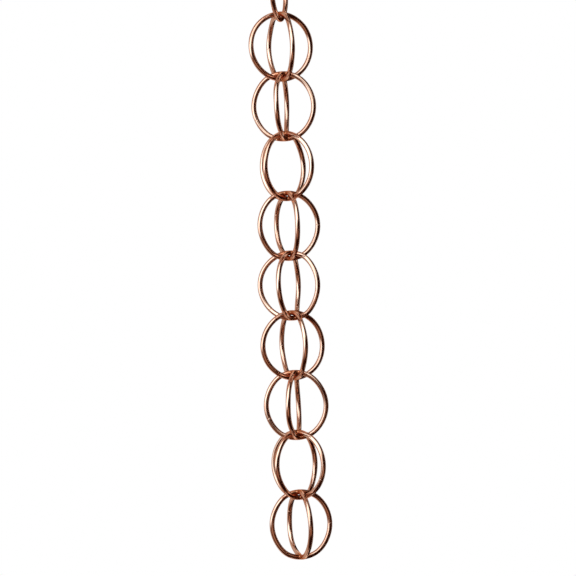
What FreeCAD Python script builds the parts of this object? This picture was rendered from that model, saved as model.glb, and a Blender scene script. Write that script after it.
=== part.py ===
"""Rain chain: double links of crossed copper wire rings, hung one in the next below a single top ring.

Frame: +Z up, with the origin where a hook bears inside the top ring. The chain hangs down along -Z.
"""
import FreeCAD, Part
import math
import os

# Driving dimensions, in millimetres
RING_OUTSIDE_DIAMETER = 63.5
WIRE_DIAMETER = 4.5
SEAT_GAP = 0.5  # play left where one link hangs on the one above it
LAP_GAP = 0.1  # room for braze where the two rings of one link cross

# Driving counts and turns, in degrees from +X towards +Y
LINK_COUNT = 9
TOP_RING_TURN = 78.0
LINK_TURNS = (26.0, -7.0, -40.0, 17.0, -20.0)  # as the links fall, in a run that repeats down the chain
CROSSING_ANGLE = 90.0  # between the two rings of one link

# Sizes worked out from the driving dimensions
WIRE_RADIUS = WIRE_DIAMETER / 2
RING_RADIUS = RING_OUTSIDE_DIAMETER / 2 - WIRE_RADIUS  # to the wire's centre line

ORIGIN = FreeCAD.Vector(0, 0, 0)
UP = FreeCAD.Vector(0, 0, 1)
ACROSS = FreeCAD.Vector(1, 0, 0)


def wire_turns(link_turn):
    """Directions of the two wires where the rings of a link cross."""
    return (link_turn, link_turn + CROSSING_ANGLE)


def angle_between_wires(first, second):
    """Angle from 0 to 90 degrees between two wires, given their turns."""
    turn = abs(first - second) % 180
    return min(turn, 180 - turn)


def seat_height(upper_turns, lower_turns):
    """Height of a lower link's top crossing above the bottom crossing that it hangs on.

    The upper wires bend up and the lower ones bend down. They rest on each other where they cross,
    one wire diameter apart, unless the angle between them is so small that they meet beside the
    crossing first: then the lower link sits higher.
    """
    angle = min(angle_between_wires(a, b) for a in upper_turns for b in lower_turns)
    spread = RING_RADIUS * (2 * math.sin(math.radians(angle) / 2)) ** 2
    height = WIRE_DIAMETER
    if spread < 2 * WIRE_DIAMETER:
        height = WIRE_DIAMETER ** 2 / spread + spread / 4
    return height + SEAT_GAP


def upright_ring(turn, wire_radius=WIRE_RADIUS):
    """A ring of round wire that stands upright on the origin, with its plane turned about +Z."""
    ring = Part.makeTorus(RING_RADIUS, wire_radius)
    ring.rotate(ORIGIN, ACROSS, 90)
    ring.rotate(ORIGIN, UP, turn)
    return ring


def lap_ball(radius):
    """A ball about the origin, with its poles level and midway between the two rings of a link."""
    ball = Part.makeSphere(radius)
    ball.rotate(ORIGIN, ACROSS, 90)
    ball.rotate(ORIGIN, UP, CROSSING_ANGLE / 2)
    return ball


def double_link():
    """The main ring and the cross ring of one link, half-lapped where they cross at top and bottom.

    Both centre lines lie on one ball. In each crossing the main ring keeps the half of its wire
    outside that ball and the cross ring keeps the half inside it, with room between them for braze.
    """
    notch_radius = WIRE_RADIUS + LAP_GAP
    main_notch = upright_ring(CROSSING_ANGLE, notch_radius).common(lap_ball(RING_RADIUS + LAP_GAP / 2))
    cross_notch = upright_ring(0, notch_radius).cut(lap_ball(RING_RADIUS - LAP_GAP / 2))
    main_ring = upright_ring(0).cut(main_notch)
    cross_ring = upright_ring(CROSSING_ANGLE).cut(cross_notch)
    return main_ring, cross_ring


def save(shape, node, turn, height):
    """Check that a piece is one sound solid, turn and lift it into place and write its STEP file."""
    assert len(shape.Solids) == 1 and shape.isValid(), node
    placed = shape.Solids[0].rotated(ORIGIN, UP, turn).translated(UP * height)
    placed.exportStep(f"parts/{node}.step")


def main():
    os.makedirs("parts", exist_ok=True)
    height = WIRE_RADIUS - RING_RADIUS
    save(upright_ring(0), "top_ring", TOP_RING_TURN, height)
    main_ring, cross_ring = double_link()
    upper_turns = (TOP_RING_TURN,)
    for link in range(1, LINK_COUNT + 1):
        turn = LINK_TURNS[(link - 1) % len(LINK_TURNS)]
        seat = seat_height(upper_turns, wire_turns(turn))
        height -= 2 * RING_RADIUS - seat
        save(main_ring, f"link_{link}_main_ring", turn, height)
        save(cross_ring, f"link_{link}_cross_ring", turn, height)
        upper_turns = wire_turns(turn)
        print(f"link {link}: turn {turn:.0f} degrees, centre at {height:.2f} mm, seat {seat:.2f} mm")


main()
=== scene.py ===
# %% [markdown]
# # A rain chain of crossed copper rings
#
# A rain chain hangs from the corner of a gutter and leads the water down. Each link of this one is two
# round rings of copper wire that cross at top and bottom, like two meridians of a globe, and each link
# hangs in the one above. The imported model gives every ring's size, place and body. This lesson dresses
# those rings: real bent wire with a butt seam, brazed crossings and an aged, polished copper finish.

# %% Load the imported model
import math

import bpy
import numpy as np
from mathutils import Matrix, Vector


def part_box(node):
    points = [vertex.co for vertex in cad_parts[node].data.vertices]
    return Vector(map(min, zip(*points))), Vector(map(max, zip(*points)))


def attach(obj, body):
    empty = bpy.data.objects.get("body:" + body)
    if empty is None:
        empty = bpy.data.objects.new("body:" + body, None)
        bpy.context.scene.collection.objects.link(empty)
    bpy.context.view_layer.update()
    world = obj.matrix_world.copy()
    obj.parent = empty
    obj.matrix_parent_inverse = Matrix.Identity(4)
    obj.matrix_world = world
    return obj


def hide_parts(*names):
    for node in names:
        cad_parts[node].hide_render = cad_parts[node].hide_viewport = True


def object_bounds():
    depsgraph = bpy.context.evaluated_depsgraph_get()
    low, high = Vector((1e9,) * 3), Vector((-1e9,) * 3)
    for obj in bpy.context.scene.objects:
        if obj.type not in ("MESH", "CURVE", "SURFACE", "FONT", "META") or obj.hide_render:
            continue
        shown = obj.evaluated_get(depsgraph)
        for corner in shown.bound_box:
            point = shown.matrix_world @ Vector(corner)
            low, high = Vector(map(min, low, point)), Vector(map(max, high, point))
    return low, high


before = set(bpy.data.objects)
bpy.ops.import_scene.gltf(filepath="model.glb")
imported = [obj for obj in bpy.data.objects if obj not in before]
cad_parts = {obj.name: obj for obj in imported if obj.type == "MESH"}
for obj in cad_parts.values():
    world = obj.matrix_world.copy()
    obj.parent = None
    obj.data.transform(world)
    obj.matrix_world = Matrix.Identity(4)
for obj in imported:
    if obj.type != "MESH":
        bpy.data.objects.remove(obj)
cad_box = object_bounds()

# %% [markdown]
# ## The rings' places
#
# Blender works in metres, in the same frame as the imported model: +Z is up and the chain hangs down the
# Z axis. Sizes could be typed in again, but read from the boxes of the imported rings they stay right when
# the model changes. The origin is where a hook bears inside the top ring, so that ring's box reaches one
# wire's thickness above it. A ring's turn about Z can't be read from its box, because a ring and its
# mirror image have the same box, so the turns are named here.

# %% Ring sizes and turns
TOP_RING_TURN = math.radians(78)
LINK_TURNS = np.radians([26, -7, -40, 17, -20])
CROSSING_ANGLE = math.radians(90)
LINK_COUNT = sum(name.endswith("_main_ring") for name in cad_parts)

top_ring_low, top_ring_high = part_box("top_ring")
WIRE_RADIUS = top_ring_high.z / 2
RING_RADIUS = (top_ring_high.z - top_ring_low.z) / 2 - WIRE_RADIUS  # to the wire's centre line


def centre_height(node):
    """Height of a ring's centre: the middle of its box."""
    low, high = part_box(node)
    return (low.z + high.z) / 2


def link_turn(link):
    """Turn of a link's main ring about Z. The run of turns repeats down the chain."""
    return LINK_TURNS[(link - 1) % len(LINK_TURNS)]


LINK_PITCH = centre_height("link_1_main_ring") - centre_height("link_2_main_ring")

# %% [markdown]
# ## The camera
#
# The photograph looks straight at the chain from a few steps away, and the chain leans a little in it.
# A camera could be moved by eye until the picture fits. Here it is worked out: one link's pitch in the
# photograph gives the size of a pixel, and that sets the field of view. A long lens keeps the rings as
# round as they are there. The lean is the camera's roll, because a hanging chain is plumb.

# %% Camera
PHOTO_SIZE = 576  # pixels
PHOTO_PITCH = 59.78  # pixels from one link to the next
PHOTO_LEAN = math.radians(2.35)
PHOTO_AXIS_OFFSET = 2.85  # pixels from the middle of the photograph to the chain, at mid-height
PHOTO_DROP_FROM_LINK_4 = 62.25  # pixels down the chain from link 4 to the photograph's mid-height
CAMERA_DISTANCE = 3.0
SENSOR_WIDTH = 36  # millimetres
PIXEL = LINK_PITCH / PHOTO_PITCH

camera_right = np.array([math.cos(PHOTO_LEAN), 0, -math.sin(PHOTO_LEAN)])
camera_up = np.array([math.sin(PHOTO_LEAN), 0, math.cos(PHOTO_LEAN)])
camera_back = np.array([0, -1, 0])
aim_height = centre_height("link_4_main_ring") - PHOTO_DROP_FROM_LINK_4 * PIXEL
aim = np.array([0, 0, aim_height]) - PHOTO_AXIS_OFFSET * PIXEL * camera_right
eye = aim + CAMERA_DISTANCE * camera_back
camera_matrix = np.eye(4)
camera_matrix[:3] = np.column_stack([camera_right, camera_up, camera_back, eye])

camera_data = bpy.data.cameras.new("camera")
camera_data.sensor_width = SENSOR_WIDTH
camera_data.lens = SENSOR_WIDTH * CAMERA_DISTANCE / (PHOTO_SIZE * PIXEL)
camera = bpy.data.objects.new("camera", camera_data)
camera.matrix_world = Matrix(camera_matrix)
bpy.context.scene.collection.objects.link(camera)
bpy.context.scene.camera = camera

# %% [markdown]
# ## Columns along the wire
#
# Every ring is a surface with two parameters: how far along the wire, and how far round it. The points
# at one place along the wire make a column. A ring is mostly a plain arc, which needs few columns, but
# the brazed crossings and the butt seam are small, and need many. A fine grid all over would waste
# faces, so the columns are evenly spaced, with closer ones at those places.

# %% Column spacing
FULL_TURN = 2 * math.pi
TOP_AND_BOTTOM = np.radians([90, 270])
EVEN_COLUMNS = 160
CROSSING_SPAN = math.radians(13)  # to either side of a crossing
CROSSING_STEP = math.radians(0.55)
SEAM_WIDTH = 0.00030
SEAM_SIDE_COLUMNS = 5  # to either side of the seam
SEAM_REACH = 1.5 * SEAM_WIDTH / RING_RADIUS  # the angle over which they stand
SEAM_CLEARANCE = 2 * SEAM_REACH  # the least angle from the seam to any other column


def column_angles(seam_angle):
    """Angles along a ring from its butt seam, in order: even ones, and close ones where it needs them.

    The seam's own angle counts from the ring's level direction upwards, as the crossings' angles do.
    """
    even = np.arange(EVEN_COLUMNS) * FULL_TURN / EVEN_COLUMNS
    far_from_crossing = np.abs(np.sin(even + seam_angle)) < math.cos(CROSSING_SPAN)
    beside_crossing = np.arange(-CROSSING_SPAN, CROSSING_SPAN, CROSSING_STEP)
    close = (TOP_AND_BOTTOM[:, None] + beside_crossing - seam_angle).ravel() % FULL_TURN
    plain = np.concatenate([even[far_from_crossing], close])
    plain = plain[(plain > SEAM_CLEARANCE) & (plain < FULL_TURN - SEAM_CLEARANCE)]
    seam_steps = np.arange(-SEAM_SIDE_COLUMNS, SEAM_SIDE_COLUMNS + 1) / SEAM_SIDE_COLUMNS
    beside_seam = SEAM_REACH * seam_steps % FULL_TURN
    return np.sort(np.concatenate([plain, beside_seam]))


print("columns on a ring:", len(column_angles(0.0)))

# %% [markdown]
# ## The bend of the wire
#
# A length of wire was bent round a former by hand. It is true at the top and bottom, where the ring was
# held. Its sides are a little flat, a little out of plane and up to 3 mm off the circle. A Torus with a
# Lattice could be bent like this, but every ring has bends of its own, and they have to end at the
# crossings. So the centre line is a formula: a circle, with small waves and shifts that a smooth step
# keeps to the sides.

# %% Bent centre line
UP = np.array([0.0, 0.0, 1.0])
TRUE_SHARE = 0.3  # of a ring's reach to its side: within it the wire is true
FLAT_DEPTH = 0.00030
FLAT_EVEN = 0.6  # share of that depth that is the same all round
FLAT_WAVE = 0.4  # share of it that comes and goes
BOW_DEPTH = 0.00045
BOW_PHASE = 1.7  # the bow's phase, as a multiple of the flat's


def smooth_step(share):
    """0 below a share of 0 and 1 above a share of 1: three times its square, less twice its cube."""
    share = np.clip(share, 0, 1)
    return share * share * (3 - 2 * share)


def level_axes(turn):
    """The level direction in a ring's plane and the one square to that plane."""
    return np.array([math.cos(turn), math.sin(turn), 0]), np.array([-math.sin(turn), math.cos(turn), 0])


def from_centre(turn, angle):
    """Directions from a ring's centre: level times the angle's cosine, plus up times its sine."""
    level, _ = level_axes(turn)
    return np.cos(angle)[..., None] * level + np.sin(angle)[..., None] * UP


def bent_centre_line(turn, angle, phase, side_shifts):
    """Points on a ring's centre line about its own centre.

    A circle in an upright plane, drawn in by a flat of three waves, bowed out of plane by two waves and
    shifted along X, with one shift for its left side and one for its right. The smooth step brings all
    of that in from the crossings to the sides, and the phase sets where the waves begin.
    """
    radial = from_centre(turn, angle)
    _, square = level_axes(turn)
    side = smooth_step((np.abs(np.cos(angle)) - TRUE_SHARE) / (1 - TRUE_SHARE))
    flat = FLAT_DEPTH * side * (FLAT_EVEN + FLAT_WAVE * np.sin(3 * angle + phase))
    bow = BOW_DEPTH * side * np.sin(2 * angle + BOW_PHASE * phase)
    centre_line = (RING_RADIUS - flat)[..., None] * radial + bow[..., None] * square
    left_shift, right_shift = side_shifts
    centre_line[..., 0] += side * np.where(radial[..., 0] < 0, left_shift, right_shift)
    return centre_line


trial_line = bent_centre_line(0.0, column_angles(0.0), 0.0, (0.0, 0.0))

# %% [markdown]
# ## Braze in the corners
#
# Two rings were brazed together where they cross. Braze runs into the corner between the wires and
# leaves a hollow fillet, a quarter circle in section. A Boolean and a Bevel could make it, but they
# leave uneven faces. Here the wire's own radius grows by the circle's formula where the other wire is
# near. On the pole of a crossing it doesn't grow, because that is where the next link hangs.

# %% Braze fillet
FILLET_RADIUS = 0.0016
FILLET_DIAGONAL = FILLET_RADIUS * (1 - math.sqrt(0.5))  # its height where its two halves meet


def distance_to_wire(points, turn):
    """Distance from points about a link's centre to the surface of the link's ring with that turn.

    It is the distance to the ring's centre line, taken as a true circle, less the wire's radius.
    """
    level, square = level_axes(turn)
    from_circle = np.hypot(points @ level, points[..., 2]) - RING_RADIUS
    return np.hypot(from_circle, points @ square) - WIRE_RADIUS


def fillet_height(distance):
    """Height of a quarter-circle fillet over a wire, at a distance from the wire that it meets.

    It is zero at the fillet's radius and rises by the circle to the corner's diagonal, where the
    other wire's half of the fillet takes over.
    """
    across = FILLET_RADIUS - np.clip(distance, FILLET_DIAGONAL, FILLET_RADIUS)
    return FILLET_RADIUS - np.sqrt(FILLET_RADIUS**2 - across**2)


# %% [markdown]
# ## The ring's surface
#
# A Curve with a round bevel would give plain wire. A grid of points gives the same wire with its seam
# and its braze: each point is the centre line plus a radius along a direction that turns round it. The
# butt seam is a shallow groove in that radius, and the fillets swell it. Three numbers are kept with
# each point for the finish: how much of it is braze, how near it is to a crossing, and the ring's tone.

# %% Ring surface
ROUND_ROWS = 32
SEAM_DEPTH = 0.00012
# The brown at a crossing is heat browning and painted shade between the wires
CROSSING_FADE = 0.06  # drop from a crossing, as a share of the ring's radius, that fades its browning


def seam_groove(from_seam):
    """Depth of the butt seam: full on the seam, and falling evenly to zero at the seam's width."""
    away = np.minimum(from_seam, FULL_TURN - from_seam) * RING_RADIUS
    return SEAM_DEPTH * np.clip(1 - away / SEAM_WIDTH, 0, 1)


def bent_ring(turn, mate_turn, seam_angle, phase, side_shifts):
    """Points on a ring about its own centre, each column's share of the wire, and the finish's numbers.

    Each section is a circle about the centre line. Its radius is the wire's, less the seam's groove,
    plus the fillet towards the mate, the ring that crosses this one. A ring with no mate has no braze,
    and is browned at its bottom only, where a link hangs on it. The brown at a crossing is partly age
    and heat, and partly painted shade between the wires.
    """
    from_seam = column_angles(seam_angle)
    angle = (from_seam + seam_angle)[:, None]
    round_angle = np.arange(ROUND_ROWS)[None, :] * FULL_TURN / ROUND_ROWS
    _, square = level_axes(turn)
    radial_part = np.cos(round_angle)[..., None] * from_centre(turn, angle)
    section = radial_part + np.sin(round_angle)[..., None] * square
    centre_line = bent_centre_line(turn, angle, phase, side_shifts)

    braze = np.zeros(section.shape[:2])
    # How near a crossing is: it places the brown there, which is heat browning and painted shade
    crossing = np.exp((np.abs(np.sin(angle)) - 1) / CROSSING_FADE)
    if mate_turn is None:
        crossing = crossing * (np.sin(angle) < 0)
    else:
        distance = distance_to_wire(centre_line + WIRE_RADIUS * section, mate_turn)
        braze = fillet_height(distance) * np.sin(round_angle) ** 2
    radius = WIRE_RADIUS - seam_groove(from_seam)[:, None] + braze
    points = centre_line + radius[..., None] * section

    numbers = {
        "braze": braze / FILLET_DIAGONAL,
        "crossing": np.broadcast_to(crossing, braze.shape),
        "tone": np.full(braze.shape, 0.5 + 0.5 * math.sin(phase)),
    }
    return points, from_seam / FULL_TURN, numbers


trial_points, _, trial_numbers = bent_ring(TOP_RING_TURN, None, 0.0, 0.0, (0.0, 0.0))
print("columns, rows and coordinates of a ring:", trial_points.shape)
print("kept with each point:", ", ".join(trial_numbers))

# %% [markdown]
# ## From a grid to a mesh
#
# A grid of points becomes a mesh by joining each point to its neighbours, and the last row and column
# to the first. The bmesh module could add the faces one by one. Doing it with whole arrays is quicker
# and leaves no gap. The grid's own parameters are stored as UVs, so that the finish can follow the
# wire.

# %% Mesh from a closed grid


def closed_quads(columns, rows):
    """Numbers of the points at each quad's corners, on a grid that is closed both ways.

    A quad joins a point, the next one round, the one ahead of that, and the one ahead of the point.
    """
    here = np.arange(columns * rows).reshape(columns, rows)
    ahead = np.roll(here, -1, axis=0)
    corners = [here, np.roll(here, -1, axis=1), np.roll(ahead, -1, axis=1), ahead]
    return np.stack(corners, axis=-1).reshape(-1, 4)


def closed_uvs(along, rows):
    """UVs of those corners: the share of the wire along it, and the share of a turn round it.

    The last quads each way reach a share of 1, where the first ones begin at 0.
    """
    u_here = np.repeat(along, rows)
    u_ahead = np.repeat(np.append(along[1:], 1.0), rows)
    v_here = np.tile(np.arange(rows) / rows, len(along))
    v_next = v_here + 1 / rows
    u = np.stack([u_here, u_here, u_ahead, u_ahead], axis=-1)
    v = np.stack([v_here, v_next, v_next, v_here], axis=-1)
    return np.stack([u, v], axis=-1)


def closed_grid_mesh(name, points, along, numbers):
    """A smooth mesh from a closed grid, with a UV map named wire and named numbers on its points."""
    columns, rows = points.shape[:2]
    quads = closed_quads(columns, rows)
    mesh = bpy.data.meshes.new(name)
    mesh.from_pydata(points.reshape(-1, 3), [], quads)
    uv_layer = mesh.uv_layers.new(name="wire")
    uv_layer.data.foreach_set("uv", closed_uvs(along, rows).astype(np.float32).ravel())
    for label, values in numbers.items():
        layer = mesh.attributes.new(label, "FLOAT", "POINT")
        layer.data.foreach_set("value", values.astype(np.float32).ravel())
    mesh.polygons.foreach_set("use_smooth", np.ones(len(quads), bool))
    mesh.update()
    return mesh


# %% [markdown]
# ## Making all the rings
#
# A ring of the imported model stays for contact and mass, and the bent ring stands for it in the picture:
# it rides on the same body. One seam shows on the near side of the third and the eighth links, as in
# the photograph. On the other rings the seam is on the far side. How far a ring's sides stand off the
# circle could be drawn at random, but the photograph shows it, so it is measured there and named.

# %% Ring values
NEAR_SEAM_LINKS = (3, 8)
NEAR_SEAM_ANGLE = math.radians(-26)
FAR_SEAM_STEP = math.radians(23)
FAR_SEAM_PLACES = 5
GOLDEN_ANGLE = math.pi * (3 - math.sqrt(5))  # from one ring's phase to the next one's
# How far the left and right sides of each ring stand off the true circle, in metres along X, for the
# main and the cross ring of the links whose turns repeat
SIDE_SHIFTS = (
    ((-0.0006, 0.0003), (0.0022, -0.0021)),
    ((0.0025, -0.0017), (-0.0029, -0.0007)),
    ((0.0007, 0.0004), (0.0002, -0.0030)),
    ((0.0024, -0.0014), (-0.0017, 0.0002)),
    ((0.0, -0.0030), (-0.0009, -0.0030)),
)

# %% Rings


def seam_place(turn, index, near):
    """Angle of a ring's seam: on its near right side, or at one of a few places on its far side."""
    if near:
        return NEAR_SEAM_ANGLE if math.cos(turn) > 0 else math.pi - NEAR_SEAM_ANGLE
    spread = FAR_SEAM_STEP * (index % FAR_SEAM_PLACES - FAR_SEAM_PLACES // 2)
    return spread if math.sin(turn) > 0 else math.pi + spread


def make_ring(node, body, turn, mate_turn, index, side_shifts=(0.0, 0.0), near_seam=False):
    """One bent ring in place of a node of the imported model, riding on its body."""
    seam_angle = seam_place(turn, index, near_seam)
    points, along, numbers = bent_ring(turn, mate_turn, seam_angle, index * GOLDEN_ANGLE, side_shifts)
    points[..., 2] += centre_height(node)
    name = f"bent_{node}"
    ring = bpy.data.objects.new(name, closed_grid_mesh(name, points, along, numbers))
    bpy.context.scene.collection.objects.link(ring)
    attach(ring, body)
    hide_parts(node)
    return ring


rings = [make_ring("top_ring", "top", TOP_RING_TURN, None, 0)]
for link in range(1, LINK_COUNT + 1):
    body = f"link_{link}"
    main_turn = link_turn(link)
    cross_turn = main_turn + CROSSING_ANGLE
    main_shifts, cross_shifts = SIDE_SHIFTS[(link - 1) % len(SIDE_SHIFTS)]
    near_seam = link in NEAR_SEAM_LINKS
    main_node, cross_node = f"{body}_main_ring", f"{body}_cross_ring"
    rings.append(make_ring(main_node, body, main_turn, cross_turn, 2 * link - 1, main_shifts, near_seam))
    rings.append(make_ring(cross_node, body, cross_turn, main_turn, 2 * link, cross_shifts))

triangles = sum(2 * len(ring.data.polygons) for ring in rings)
print(len(rings), "bent rings,", triangles, "triangles")

# %% [markdown]
# ## Node groups for the copper
#
# The finish has drawing lines, tarnish and scratches, and both the links and the top ring have them. An
# effect that more than one material uses is a node group, built once. A group has named inputs, so that
# each material gives its own values, and puts out masks that change over the surface. A mask is a
# number from 0 to 1 that says how much of something is there. Groups could be built by hand in the
# Shader Editor. In a script, a few helpers keep each node to one line.

# %% Node helpers


def new_group(name, inputs, outputs):
    """A shader node group with float inputs, given with their defaults, and float outputs.

    Comes back with the sockets inside it that give its inputs and take its outputs.
    """
    group = bpy.data.node_groups.new(name, "ShaderNodeTree")
    for label, default in inputs.items():
        socket = group.interface.new_socket(label, in_out="INPUT", socket_type="NodeSocketFloat")
        socket.default_value = default
    for label in outputs:
        group.interface.new_socket(label, in_out="OUTPUT", socket_type="NodeSocketFloat")
    return group, group.nodes.new("NodeGroupInput").outputs, group.nodes.new("NodeGroupOutput").inputs


def feed(tree, source, target):
    """Links a socket to an input, or writes a plain value there."""
    if isinstance(source, bpy.types.NodeSocket):
        tree.links.new(source, target)
    else:
        target.default_value = source


def math_node(tree, operation, *values):
    """A Math node's result."""
    node = tree.nodes.new("ShaderNodeMath")
    node.operation = operation
    for socket, value in zip(node.inputs, values):
        feed(tree, value, socket)
    return node.outputs[0]


def ramp_between(tree, value, low, high):
    """A smooth step of a value from 0 at low to 1 at high."""
    node = tree.nodes.new("ShaderNodeMapRange")
    node.interpolation_type = "SMOOTHSTEP"
    feed(tree, value, node.inputs["Value"])
    feed(tree, low, node.inputs["From Min"])
    feed(tree, high, node.inputs["From Max"])
    return node.outputs["Result"]


def noise(tree, vector, scale, detail):
    """A Noise Texture's value at a place."""
    node = tree.nodes.new("ShaderNodeTexNoise")
    tree.links.new(vector, node.inputs["Vector"])
    feed(tree, scale, node.inputs["Scale"])
    node.inputs["Detail"].default_value = detail
    return node.outputs["Fac"]


def point_number(tree, label):
    """A number that is stored on the mesh's points."""
    node = tree.nodes.new("ShaderNodeAttribute")
    node.attribute_name = label
    return node.outputs["Fac"]


print("helpers for groups, links, Math, Map Range, Noise Texture and Attribute nodes")

# %% [markdown]
# ## Drawing lines
#
# Copper wire is pulled through a die, which leaves faint lines along it. A Wave Texture would make them
# too even. A noise that is stretched along the wire gives lines that come and go. Its place is worked
# out from the UVs: the cosine and sine of the way round keep it free of a join on the wire's side, and
# the way along is squeezed. The join at the wire's ends falls on the butt seam, where a real wire has
# it too.

# %% Drawing lines group
LINE_DETAIL = 3.0
LINE_LIMITS = (0.35, 0.65)  # of the noise: a line rises from the first to the second


def drawing_lines_group():
    """Lines: high on the ridges of long, fine lines along the wire."""
    inputs = {"Lines Round": 9.0, "Lines Along": 14.0}
    group, given, out = new_group("drawing lines", inputs, ["Lines"])
    uv = group.nodes.new("ShaderNodeUVMap")
    uv.uv_map = "wire"
    wire = group.nodes.new("ShaderNodeSeparateXYZ")
    group.links.new(uv.outputs["UV"], wire.inputs[0])
    way_round = math_node(group, "MULTIPLY", wire.outputs["Y"], FULL_TURN)
    place = group.nodes.new("ShaderNodeCombineXYZ")
    for socket, operation in (("X", "COSINE"), ("Y", "SINE")):
        wave = math_node(group, operation, way_round)
        spread = math_node(group, "MULTIPLY", wave, given["Lines Round"])
        group.links.new(spread, place.inputs[socket])
    squeezed = math_node(group, "MULTIPLY", wire.outputs["X"], given["Lines Along"])
    group.links.new(squeezed, place.inputs["Z"])
    lines = noise(group, place.outputs[0], 1.0, LINE_DETAIL)
    group.links.new(ramp_between(group, lines, *LINE_LIMITS), out["Lines"])
    return group


drawing_lines = drawing_lines_group()
print("group:", drawing_lines.name)

# %% [markdown]
# ## Tarnish and painted shade at the crossings
#
# Polished copper browns as it ages, in soft clouds, and most at the crossings, where it was heated to
# braze it and where water stays. The brown at the crossings is also painted shade: it stands in for
# the darker, redder light between the crowded wires there, and dulls their highlights. One even brown
# would look painted, and a painted image would need a file. The group mixes a slow noise on Object
# coordinates with the number stored on the mesh for how near a crossing is, so that the brown has a
# loose edge there.

# %% Tarnish and crossing shade group
CLOUD_DETAIL = 3.0
CLOUD_LIMITS = (0.44, 0.78)
SPECK_DETAIL = 2.0
SPECK_SHARE = 0.12  # of the specks in the clouds
LOOSE_SHARE = 0.5  # of the clouds in the edge of the brown at a crossing
CROSSING_LIMITS = (0.3, 1.1)


def tarnish_and_crossing_shade_group():
    """Clouds: soft brown patches of age. Crossing: heat browning and painted shade at a crossing, with a
    loose edge.
    """
    inputs = {"Cloud Scale": 60.0, "Speck Scale": 900.0}
    group, given, out = new_group("tarnish_and_crossing_shade", inputs, ["Clouds", "Crossing"])
    place = group.nodes.new("ShaderNodeTexCoord").outputs["Object"]
    clouds = noise(group, place, given["Cloud Scale"], CLOUD_DETAIL)
    specks = noise(group, place, given["Speck Scale"], SPECK_DETAIL)
    patchy = math_node(group, "MULTIPLY_ADD", specks, SPECK_SHARE, clouds)
    group.links.new(ramp_between(group, patchy, *CLOUD_LIMITS), out["Clouds"])
    # The brown at a crossing: heat browning and painted shade between the crowded wires, with a loose edge
    loose = math_node(group, "MULTIPLY_ADD", clouds, LOOSE_SHARE, point_number(group, "crossing"))
    group.links.new(ramp_between(group, loose, *CROSSING_LIMITS), out["Crossing"])
    return group


tarnish_and_crossing_shade = tarnish_and_crossing_shade_group()
print("group:", tarnish_and_crossing_shade.name)

# %% [markdown]
# ## Hairline scratches
#
# Links rub on each other in the wind and leave short scratches, which are too fine to model. Where a
# noise crosses its middle value it makes thin, winding lines. Stretching its place along one slanted
# direction makes them run straighter, and a second noise leaves them only in patches.

# %% Scratch group
SCRATCH_TURN = (0.5, 0.9, 0.3)  # radians about X, Y and Z
SCRATCH_STRETCH = (1.0, 1.0, 0.15)
SCRATCH_DETAIL = 1.0
NOISE_MIDDLE = 0.5
PATCH_SCALE = 170.0
PATCH_DETAIL = 1.0
PATCH_LIMITS = (0.5, 0.62)


def scratch_group():
    """Scratches: thin lines in patches, from 0 to 1."""
    inputs = {"Scratch Scale": 420.0, "Thinness": 0.012}
    group, given, out = new_group("hairline scratches", inputs, ["Scratches"])
    place = group.nodes.new("ShaderNodeTexCoord").outputs["Object"]
    slanted = group.nodes.new("ShaderNodeMapping")
    slanted.inputs["Rotation"].default_value = SCRATCH_TURN
    slanted.inputs["Scale"].default_value = SCRATCH_STRETCH
    group.links.new(place, slanted.inputs["Vector"])
    lines = noise(group, slanted.outputs[0], given["Scratch Scale"], SCRATCH_DETAIL)
    from_middle = math_node(group, "ABSOLUTE", math_node(group, "SUBTRACT", lines, NOISE_MIDDLE))
    thin = ramp_between(group, from_middle, given["Thinness"], 0.0)
    patches = ramp_between(group, noise(group, place, PATCH_SCALE, PATCH_DETAIL), *PATCH_LIMITS)
    group.links.new(math_node(group, "MULTIPLY", thin, patches), out["Scratches"])
    return group


scratches = scratch_group()
print("group:", scratches.name)

# %% [markdown]
# ## The copper
#
# Bare metal has no colour of its own: its Base Color tints what it mirrors. So the copper is a full
# Metallic with a low Roughness, and the studio round it gives the bright and dark bands. A plain colour
# with painted bands would be wrong from any other side. Tarnish takes the tint towards brown and
# roughens it a little. At the crossings that brown is also painted shade, which darkens them and dulls
# their highlights. The braze in the corners is duller and browner, and the drawing lines and scratches
# are a fine Bump.

# %% Copper values
CLEAN_COPPER = (0.88, 0.54, 0.395, 1)
PINK_COPPER = (0.85, 0.495, 0.355, 1)
# Brown of age and heat, and of the painted shade at the crossings
TARNISH_AND_SHADE_BROWN = (0.55, 0.165, 0.062, 1)
BRAZE_COLOUR = (0.47, 0.17, 0.07, 1)
EDGE_TINT = (0.75, 0.50, 0.38, 1)  # of what shows at a glancing angle
# At a crossing the brown is heat browning and painted shade between the wires
CROSSING_BROWN_AND_SHADE = 0.9  # share of brown at a crossing
CLEAN_ROUGHNESS = 0.10
# What each mark adds to the roughness
BROWN_ROUGHENS = 0.20
LINES_ROUGHEN = 0.05
BRAZE_ROUGHENS = 0.12
SCRATCHES_ROUGHEN = 0.2
# Heights of the marks, as shares of the Bump's distance
LINE_HEIGHT = 0.35
SCRATCH_HEIGHT = -0.6
BUMP_STRENGTH = 0.35
BUMP_DISTANCE = 0.00004
print("clean copper", CLEAN_COPPER[:3], "with a roughness from", CLEAN_ROUGHNESS)

# %% Copper material
MIX_INPUTS = (0, 6, 7)  # places of the share and the two colours among a Mix node's inputs
MIX_RESULT = 2  # place of the colour among its outputs


def colour_mix(tree, share, below, above):
    """A colour mixed from two by a share."""
    node = tree.nodes.new("ShaderNodeMix")
    node.data_type = "RGBA"
    for value, socket in zip((share, below, above), MIX_INPUTS):
        feed(tree, value, node.inputs[socket])
    return node.outputs[MIX_RESULT]


def place_group(tree, group, **values):
    """A group in a material, with that material's own values. In a name, _ stands for a space."""
    node = tree.nodes.new("ShaderNodeGroup")
    node.node_tree = group
    for label, value in values.items():
        node.inputs[label.replace("_", " ")].default_value = value
    return node.outputs


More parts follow.
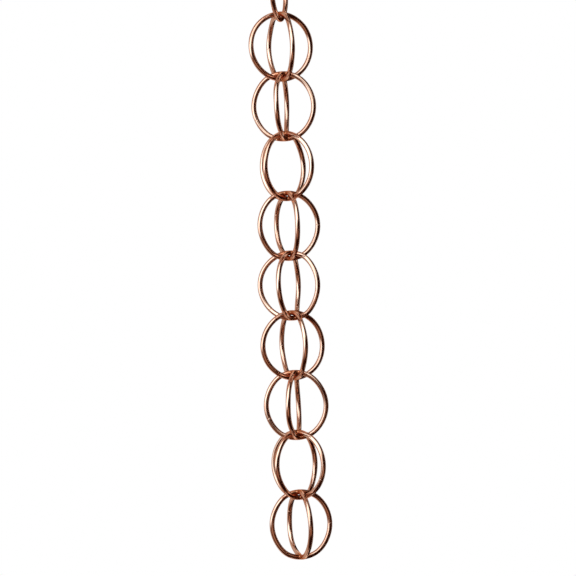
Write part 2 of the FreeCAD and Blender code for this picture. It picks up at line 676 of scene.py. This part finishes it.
def copper_material(name, cloud_share, scratch_share, lines_along):
    """Polished copper wire, browned by a share of aged clouds and at the crossings by heat and painted
    shade, and scratched by a share of hairlines.
    """
    material = bpy.data.materials.new(name)
    material.use_nodes = True
    tree = material.node_tree
    shader = tree.nodes["Principled BSDF"]
    shader.inputs["Metallic"].default_value = 1.0
    shader.inputs["Specular Tint"].default_value = EDGE_TINT

    lines = place_group(tree, drawing_lines, Lines_Along=lines_along)["Lines"]
    browned = place_group(tree, tarnish_and_crossing_shade)
    hairlines = place_group(tree, scratches)["Scratches"]
    braze = point_number(tree, "braze")

    clouds = math_node(tree, "MULTIPLY", browned["Clouds"], cloud_share)
    # The brown at the crossings is painted shade as well as heat browning: it darkens them and dulls their
    # highlights
    crossing_heat_and_shade = math_node(tree, "MULTIPLY", browned["Crossing"], CROSSING_BROWN_AND_SHADE)
    brown = math_node(tree, "MAXIMUM", clouds, crossing_heat_and_shade)
    bare = colour_mix(tree, point_number(tree, "tone"), CLEAN_COPPER, PINK_COPPER)
    aged_and_shaded = colour_mix(tree, brown, bare, TARNISH_AND_SHADE_BROWN)
    tree.links.new(colour_mix(tree, braze, aged_and_shaded, BRAZE_COLOUR), shader.inputs["Base Color"])

    marked = math_node(tree, "MULTIPLY", hairlines, scratch_share)
    rough = math_node(tree, "MULTIPLY_ADD", brown, BROWN_ROUGHENS, CLEAN_ROUGHNESS)
    rough = math_node(tree, "MULTIPLY_ADD", lines, LINES_ROUGHEN, rough)
    rough = math_node(tree, "MULTIPLY_ADD", braze, BRAZE_ROUGHENS, rough)
    rough = math_node(tree, "MULTIPLY_ADD", marked, SCRATCHES_ROUGHEN, rough)
    tree.links.new(rough, shader.inputs["Roughness"])

    ridges = math_node(tree, "MULTIPLY", lines, LINE_HEIGHT)
    relief = math_node(tree, "MULTIPLY_ADD", marked, SCRATCH_HEIGHT, ridges)
    bump = tree.nodes.new("ShaderNodeBump")
    bump.inputs["Strength"].default_value = BUMP_STRENGTH
    bump.inputs["Distance"].default_value = BUMP_DISTANCE
    tree.links.new(relief, bump.inputs["Height"])
    tree.links.new(bump.outputs["Normal"], shader.inputs["Normal"])
    return material


link_copper = copper_material("link_copper", cloud_share=0.40, scratch_share=0.7, lines_along=14.0)
top_copper = copper_material("top_ring_copper", cloud_share=0.55, scratch_share=1.0, lines_along=11.0)
for ring in rings:
    ring.data.materials.append(top_copper if ring.name == "bent_top_ring" else link_copper)
print("materials:", link_copper.name, top_copper.name)

# %% [markdown]
# ## Floor and background
#
# The chain is shown on plain white. A white backdrop would need much light to look white, and that
# light would fall on the copper too. So the World itself is white to the camera and to reflections, and
# gives a softer, even light to everything else. A pale floor stands below the chain, out of the
# camera's view, and takes its shadow in views from above.

# %% Floor
FLOOR_DROP = 0.12
FLOOR_HEIGHT = cad_box[0].z - FLOOR_DROP
FLOOR_RADIUS = 1.1
FLOOR_POINTS = 33  # along each side of the floor's grid
FLOOR_COLOUR = (0.82, 0.82, 0.81, 1)
FLOOR_ROUGHNESS = 0.9
FLOOR_GLOSS = 0.1


def floor_material():
    """A dull, even, pale material."""
    material = bpy.data.materials.new("floor")
    material.use_nodes = True
    shader = material.node_tree.nodes["Principled BSDF"]
    shader.inputs["Base Color"].default_value = FLOOR_COLOUR
    shader.inputs["Roughness"].default_value = FLOOR_ROUGHNESS
    shader.inputs["Specular IOR Level"].default_value = FLOOR_GLOSS
    return material


def studio_surface(name, points, material):
    """A surface through an open grid of points, which belongs to the studio and not to the chain."""
    columns, rows = points.shape[:2]
    index = np.arange(columns * rows).reshape(columns, rows)
    corners = [index[:-1, :-1], index[1:, :-1], index[1:, 1:], index[:-1, 1:]]
    mesh = bpy.data.meshes.new(name)
    mesh.from_pydata(points.reshape(-1, 3), [], np.stack(corners, axis=-1).reshape(-1, 4))
    mesh.materials.append(material)
    surface = bpy.data.objects.new(name, mesh)
    bpy.context.scene.collection.objects.link(surface)
    return surface


def disc(radius, height):
    """A level disc: a square grid pressed into a circle, so that it has no hole in its middle.

    Each coordinate, from -1 to 1, shrinks by the square root of one less half the other one's square.
    """
    across = np.linspace(-1, 1, FLOOR_POINTS)
    x, y = np.meshgrid(across, across, indexing="ij")
    x, y = x * np.sqrt(1 - y**2 / 2), y * np.sqrt(1 - x**2 / 2)
    return np.stack([radius * x, radius * y, np.full_like(x, height)], axis=-1)


floor = studio_surface("floor", disc(FLOOR_RADIUS, FLOOR_HEIGHT), floor_material())

# %% World
WHITE = (1, 1, 1, 1)
WORLD_LIGHT = 0.7
SEEN_LIGHT = 1.0  # shows as white


def studio_world():
    """A white World: full where the camera, a reflection or glass sees it, and softer as a light."""
    world = bpy.data.worlds.new("studio")
    world.use_nodes = True
    tree = world.node_tree
    tree.nodes.clear()
    path = tree.nodes.new("ShaderNodeLightPath").outputs
    seen = math_node(tree, "MAXIMUM", path["Is Camera Ray"], path["Is Glossy Ray"])
    seen = math_node(tree, "MAXIMUM", seen, path["Is Transmission Ray"])
    mixed = tree.nodes.new("ShaderNodeMixShader")
    tree.links.new(seen, mixed.inputs["Fac"])
    for strength, socket in ((WORLD_LIGHT, mixed.inputs[1]), (SEEN_LIGHT, mixed.inputs[2])):
        background = tree.nodes.new("ShaderNodeBackground")
        background.inputs["Color"].default_value = WHITE
        background.inputs["Strength"].default_value = strength
        tree.links.new(background.outputs[0], socket)
    tree.links.new(mixed.outputs[0], tree.nodes.new("ShaderNodeOutputWorld").inputs["Surface"])
    return world


bpy.context.scene.world = studio_world()
print("world light", WORLD_LIGHT)

# %% [markdown]
# ## The studio in the reflections
#
# Polished wire is a thin curved mirror, so it shows the whole studio in narrow bands. In the photograph
# a strand has a cream band towards its left and a near-black one on its right, and arcs that face down
# are a plain brown. Lamps and cards could be stood round the chain, but they would light each other. So
# a dome stands round it like a photographer's tent, painted by direction: a bright soft panel on the
# front left and a dimmer one above it, black cloth on the right and underfoot, a grey wall behind on
# the left, a narrow strip of light behind on the right, and a ground that is lit in front and dark on
# the left. Its paint is a colour on each of its points, with soft edges. Only reflections see it: it
# hides nothing and casts no shadow.

# %% Dome values
DOME_RADIUS = 1.5
DOME_REACH = 166  # degrees to either side: the white World shows through the opening behind
DOME_RISE = 85  # degrees above and below level
DOME_STEP = 2  # degrees
DIM_GROUND = (0.30, 0.168, 0.112)
BLACK_CLOTH = (0.020, 0.004, 0.001)
# Each area of paint: its azimuths and rises in degrees, how far its sides lean right for each degree
# of rise, the width of its soft edge, and its light
DOME_AREAS = {
    "grey wall": ((-200, -88), (-64, 60), 0.0, 12, (0.58, 0.53, 0.49)),
    "dark ground": ((-88, -34), (-56, -10), 0.0, 18, (0.11, 0.042, 0.019)),
    "dim front": ((-34, 10), (-14, 24), 0.6, 16, (0.36, 0.24, 0.17)),
    "black cloth": ((-34, 200), (-20, 120), 0.6, 14, BLACK_CLOTH),
    "lit ground": ((-30, 30), (-42, -12), 0.0, 18, (0.44, 0.27, 0.19)),
    "black cloth below": ((26, 200), (-120, -10), 0.0, 14, BLACK_CLOTH),
    "black cloth underfoot": ((-56, 200), (-120, -38), 0.0, 12, BLACK_CLOTH),
    "high panel": ((-60, 24), (20, 72), 0.2, 20, (1.40, 1.62, 1.68)),
    "light strip": ((110, 124), (-50, 70), 0.0, 6, (0.8, 0.75, 0.7)),
    "soft panel": ((-88, -25), (-9, 62), 0.8, 22, (2.05, 2.55, 2.85)),
}
print("areas of paint:", len(DOME_AREAS))

# %% Painted dome


def toward(azimuth, rise):
    """Direction at an azimuth, which is 0 towards the camera and grows to the right, and a rise."""
    level = np.cos(rise)
    return np.stack([level * np.sin(azimuth), -level * np.cos(azimuth), np.sin(rise)], axis=-1)


def soft_between(value, low, high, edge):
    """1 between two limits and 0 outside them, by smooth steps of a width about each limit."""
    return smooth_step((value - low) / edge + 0.5) * smooth_step((high - value) / edge + 0.5)


def dome_paint(azimuth, rise):
    """The dome's light by direction: the dim ground, with each area laid over what is below it."""
    light = np.broadcast_to(np.array(DIM_GROUND), azimuth.shape + (3,))
    for sides, heights, lean, edge, colour in DOME_AREAS.values():
        cover = soft_between(azimuth - lean * rise, *sides, edge) * soft_between(rise, *heights, edge)
        light = light + cover[..., None] * (np.array(colour) - light)
    return light


def paint_material():
    """A glow whose colour is the paint stored on the dome's points."""
    material = bpy.data.materials.new("dome_paint")
    material.use_nodes = True
    tree = material.node_tree
    tree.nodes.clear()
    paint = tree.nodes.new("ShaderNodeAttribute")
    paint.attribute_name = "paint"
    glow = tree.nodes.new("ShaderNodeEmission")
    tree.links.new(paint.outputs["Color"], glow.inputs["Color"])
    tree.links.new(glow.outputs[0], tree.nodes.new("ShaderNodeOutputMaterial").inputs["Surface"])
    return material


dome_sides = np.arange(-DOME_REACH, DOME_REACH + 1, DOME_STEP)
dome_heights = np.arange(-DOME_RISE, DOME_RISE + 1, DOME_STEP)
dome_azimuth, dome_rise = np.meshgrid(dome_sides, dome_heights, indexing="ij")
dome_centre = np.array([0, 0, aim_height])
dome_points = dome_centre + DOME_RADIUS * toward(np.radians(dome_azimuth), np.radians(dome_rise))
dome = studio_surface("dome", dome_points, paint_material())

dome_colours = np.ones(dome_azimuth.shape + (4,), np.float32)
dome_colours[..., :3] = dome_paint(dome_azimuth, dome_rise)
paint_layer = dome.data.attributes.new("paint", "FLOAT_COLOR", "POINT")
paint_layer.data.foreach_set("color", dome_colours.ravel())
dome.visible_camera = False
dome.visible_diffuse = False
dome.visible_shadow = False
floor.visible_glossy = False  # the copper mirrors the dome's ground in its place
print("dome points", dome_azimuth.size, "brightest", round(float(dome_colours.max()), 2))

# %% [markdown]
# ## The soft light
#
# A large lamp stands where the dome's bright panel is. The World alone would leave the chain with no
# shadow on the floor, and a small lamp would draw a hard one. The dome already shows the panel to the
# copper, so the lamp itself stays out of the reflections.

# %% Soft light
LIGHT_AZIMUTH = math.radians(-40)
LIGHT_RISE = math.radians(40)
LIGHT_DISTANCE = 1.4
LIGHT_SIDE = 1.2
LIGHT_WATTS = 8

light_data = bpy.data.lights.new("soft_light", "AREA")
light_data.size = LIGHT_SIDE
light_data.energy = LIGHT_WATTS
light = bpy.data.objects.new("soft_light", light_data)
light.location = dome_centre + LIGHT_DISTANCE * toward(LIGHT_AZIMUTH, LIGHT_RISE)
light.rotation_euler = (math.pi / 2 - LIGHT_RISE, 0, LIGHT_AZIMUTH)
light.visible_camera = False
light.visible_glossy = False
bpy.context.scene.collection.objects.link(light)
print("soft light", LIGHT_WATTS, "W")

# %% [markdown]
# ## Colour view and finish
#
# Blender's usual view bends colours as film does, and the Standard view shows them as they are written.

# %% Finish
bpy.context.scene.view_settings.view_transform = "Standard"
